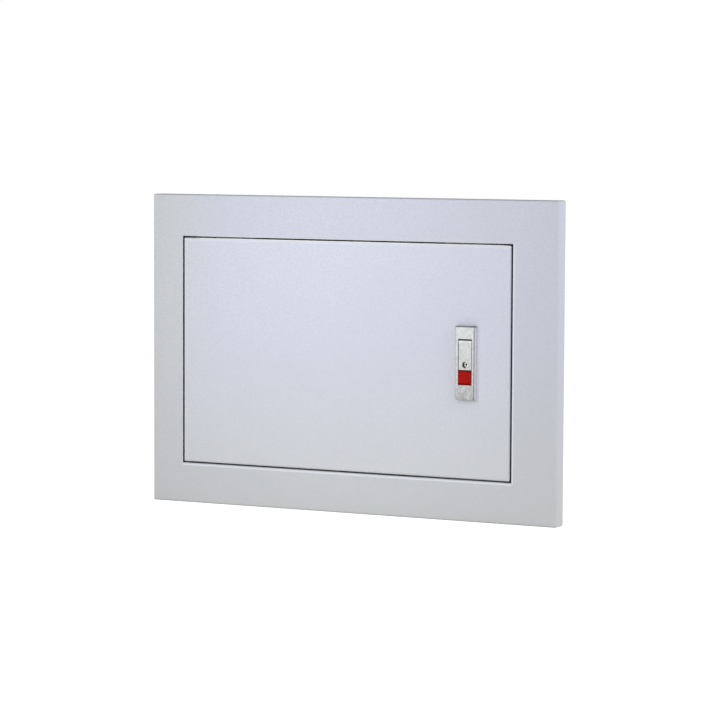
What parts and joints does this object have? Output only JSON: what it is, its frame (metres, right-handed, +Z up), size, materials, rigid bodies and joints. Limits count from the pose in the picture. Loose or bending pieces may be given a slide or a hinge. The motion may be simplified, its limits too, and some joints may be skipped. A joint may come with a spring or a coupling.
{
  "type": "wall enclosure",
  "caption": "Flush-mounted sheet-steel distribution box: back box, wide cover frame and inset hinged door with a push-button lock, rail and terminal bars inside.",
  "frame": {"origin": "centre of the back box's rear face", "axes": "+Z up, +Y into the wall, the front faces -Y and +X is to the right seen from the front"},
  "size_m": [0.43, 0.0995, 0.3],
  "materials": {
    "powder_coat": "pale blue-grey powder coat with fine orange peel",
    "galvanised_sheet": "galvanised sheet",
    "zinc_plated": "bright zinc plate",
    "spring_steel": "drawn wire",
    "cast_zinc": "satin plated die casting",
    "polished_plug": "polished plate",
    "red_plastic": "moulded gloss",
    "blue_plastic": "moulded matt",
    "brass": "drawn bar",
    "rubber": "moulded matt"
  },
  "bodies": {
    "wall_box": {"back_box": "galvanised_sheet", "cover_lugs": "galvanised_sheet", "cover_frame": "powder_coat", "cover_screws": "zinc_plated", "door_buffers": "rubber", "inner_panel": "powder_coat", "panel_pillars": "zinc_plated", "panel_screws": "zinc_plated", "din_rail": "galvanised_sheet", "rail_brackets": "galvanised_sheet", "rail_screws": "zinc_plated", "neutral_bar": "brass", "neutral_insulators": "blue_plastic", "neutral_terminal_screws": "zinc_plated", "neutral_fixing_screws": "zinc_plated", "earth_bar": "brass", "earth_pillars": "brass", "earth_terminal_screws": "zinc_plated", "earth_fixing_screws": "zinc_plated", "box_earth_stud": "zinc_plated", "box_earth_nut": "brass"},
    "door": {"door": "powder_coat", "hinge_brackets": "zinc_plated", "hinge_pins": "zinc_plated", "hinge_clips": "zinc_plated", "door_earth_stud": "zinc_plated", "door_earth_nut": "brass", "lock_bezel": "cast_zinc", "handle_pin": "zinc_plated", "button_spring": "spring_steel", "latch_spring": "spring_steel", "lock_bracket": "galvanised_sheet", "lock_screws": "zinc_plated"},
    "handle": {"lock_handle": "cast_zinc"},
    "cylinder": {"key_cylinder": "polished_plug"},
    "button": {"lock_button": "red_plastic"},
    "latch": {"latch_bolt": "zinc_plated"}
  },
  "joints": [
    {"name": "door_hinge", "type": "hinge", "parent": "wall_box", "child": "door", "pos_m": [-0.163, -0.087, 0], "axis": [0, 0, -1], "range_deg": [0, 105]},
    {"name": "handle_lift", "type": "hinge", "parent": "door", "child": "handle", "pos_m": [0.13, -0.097, 0.0188], "axis": [-1, 0, 0], "range_deg": [0, 30]},
    {"name": "key_turn", "type": "hinge", "parent": "handle", "child": "cylinder", "pos_m": [0.13, -0.096, -0.0024], "axis": [0, 1, 0], "range_deg": [0, 90]},
    {"name": "button_press", "type": "slide", "parent": "door", "child": "button", "axis": [0, 1, 0], "range_m": [0, 0.003], "stiffness_N_per_m": 300},
    {"name": "latch_slide", "type": "slide", "parent": "door", "child": "latch", "axis": [-1, 0, 0], "range_m": [0, 0.0075]}
  ],
  "couplings": [
    {"joint": "latch_slide", "follows": "handle_lift", "m_per_rad": 0.014324}
  ]
}
